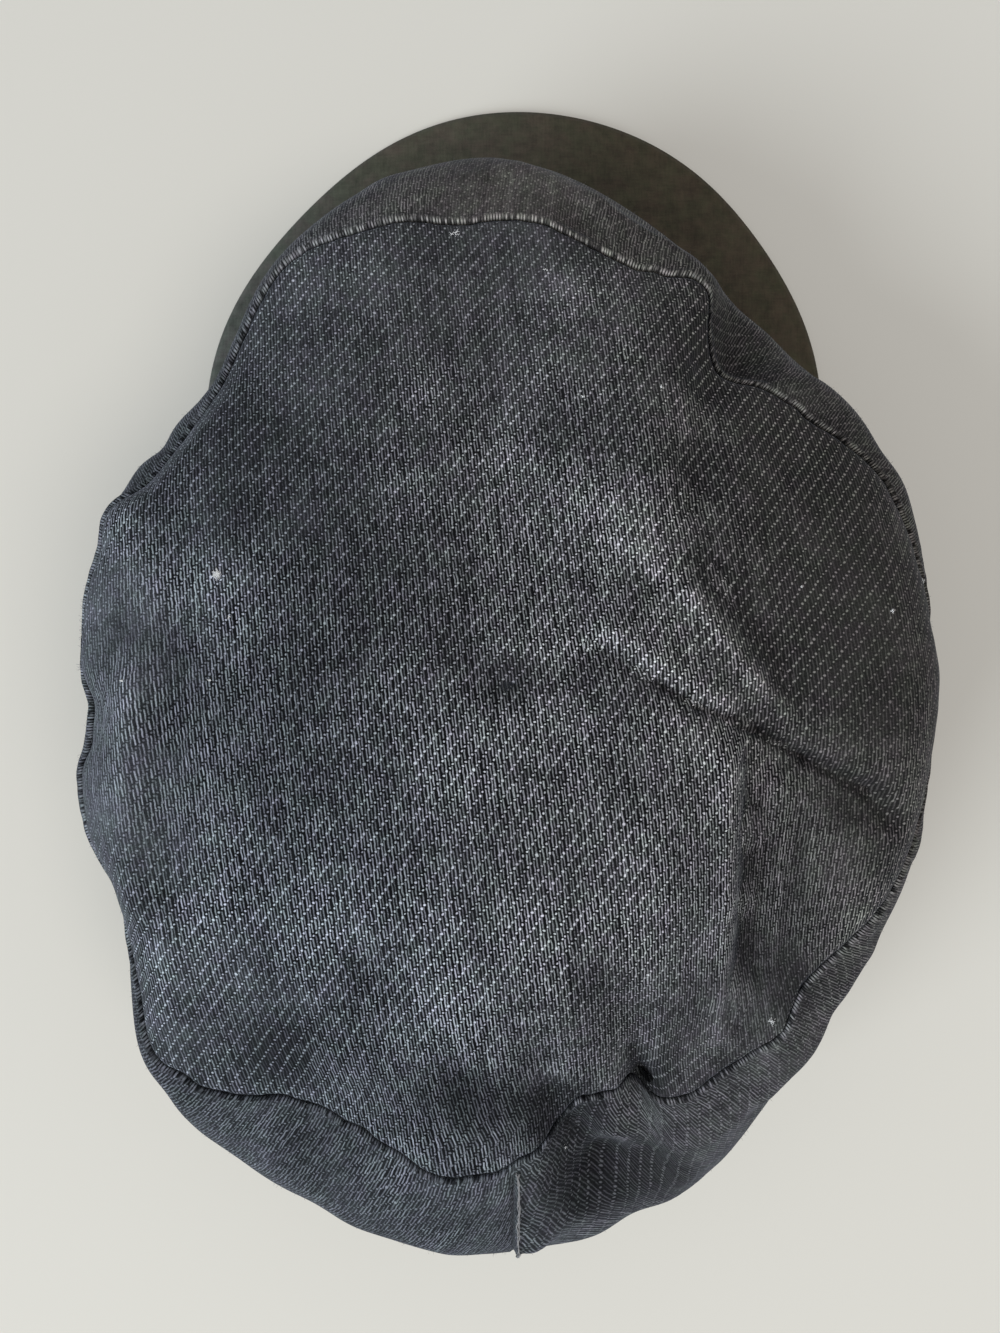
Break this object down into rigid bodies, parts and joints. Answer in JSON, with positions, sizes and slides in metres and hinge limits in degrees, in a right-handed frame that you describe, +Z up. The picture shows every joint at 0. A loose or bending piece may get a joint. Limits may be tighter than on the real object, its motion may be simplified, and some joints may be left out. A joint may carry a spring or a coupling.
{
  "type": "peaked cap",
  "caption": "Soft peaked cap of dark twill: a round top panel, a one-strip side wall, an oval headband and a covered crescent peak.",
  "frame": {"origin": "middle of the cap's box, on the floor that the cap lies on", "axes": "+Z up, -Y towards the peak, +X towards the wearer's left"},
  "size_m": [0.1921, 0.2991, 0.0871],
  "materials": {
    "crown_twill": "matte",
    "peak_cloth": "matte"
  },
  "bodies": {
    "root": {"crown_top": "crown_twill", "crown_side": "crown_twill", "headband": "crown_twill", "peak": "peak_cloth"}
  },
  "joints": []
}
